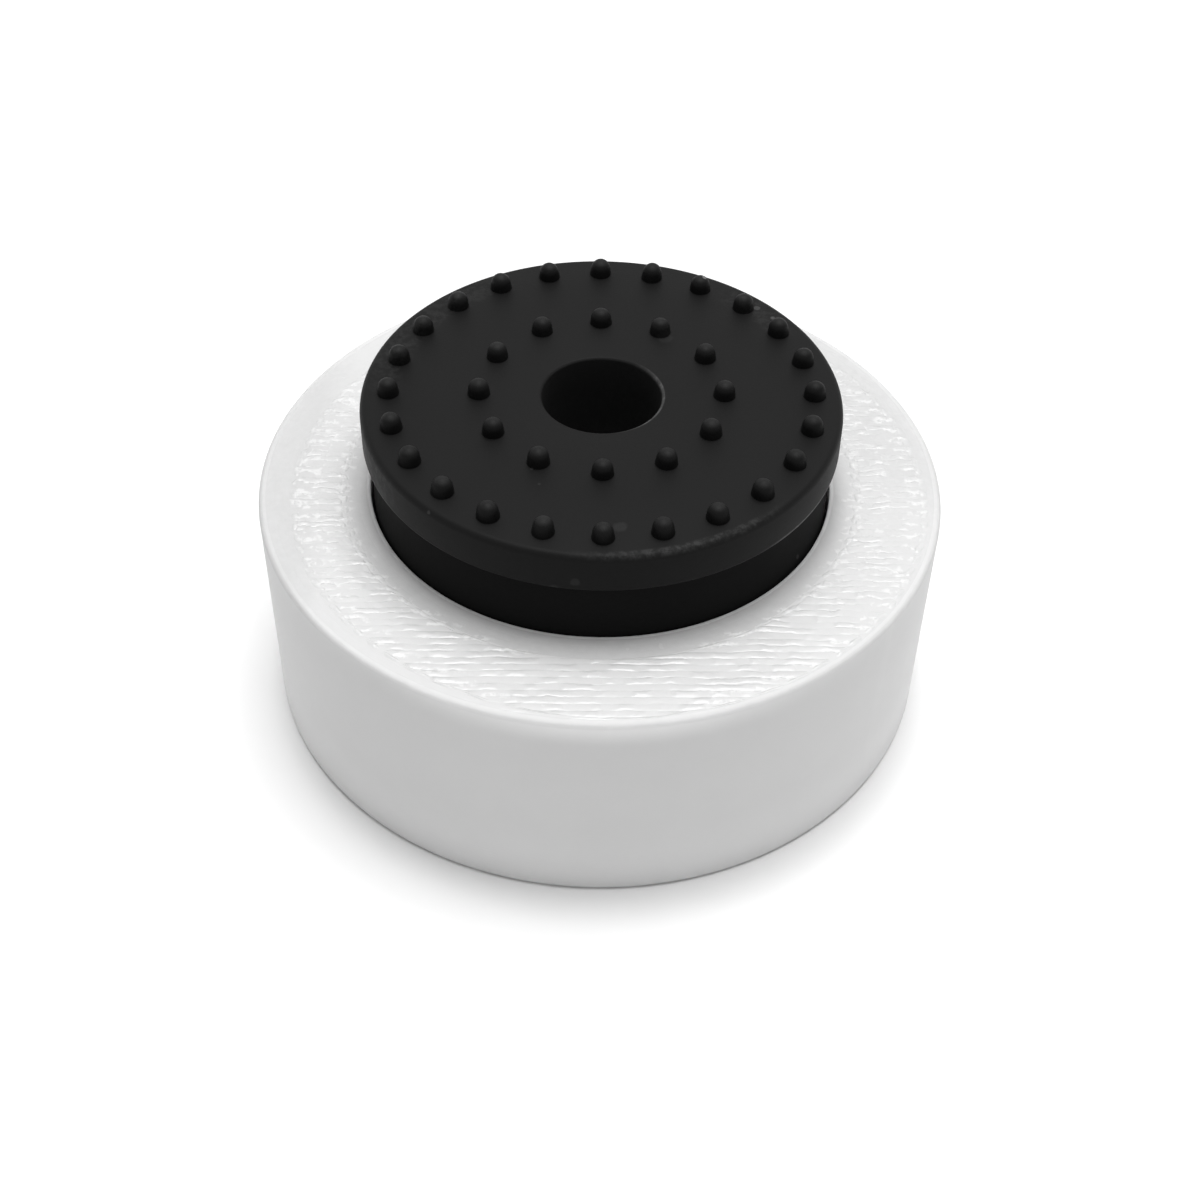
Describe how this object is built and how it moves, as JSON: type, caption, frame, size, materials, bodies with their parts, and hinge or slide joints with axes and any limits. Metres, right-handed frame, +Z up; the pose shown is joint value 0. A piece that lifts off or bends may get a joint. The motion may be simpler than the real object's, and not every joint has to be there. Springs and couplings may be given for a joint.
{
  "type": "studded round rubber foot in a printed base",
  "caption": "Thick rubber disc with rings of small studs on its face and a centre hole, its neck seated in a round pocket in the top of a plain printed cylindrical base.",
  "frame": {"origin": "centre of the flat underside of the printed base", "axes": "+Z up along the shared axis of the base and the foot, out of the studded face; -Y is the side shown nearest in the picture and +X its right-hand side"},
  "size_m": [0.035, 0.035, 0.0181],
  "materials": {
    "printed_white": "satin",
    "black_rubber": "matte"
  },
  "bodies": {
    "root": {"printed_base": "printed_white", "rubber_foot": "black_rubber"}
  },
  "joints": []
}
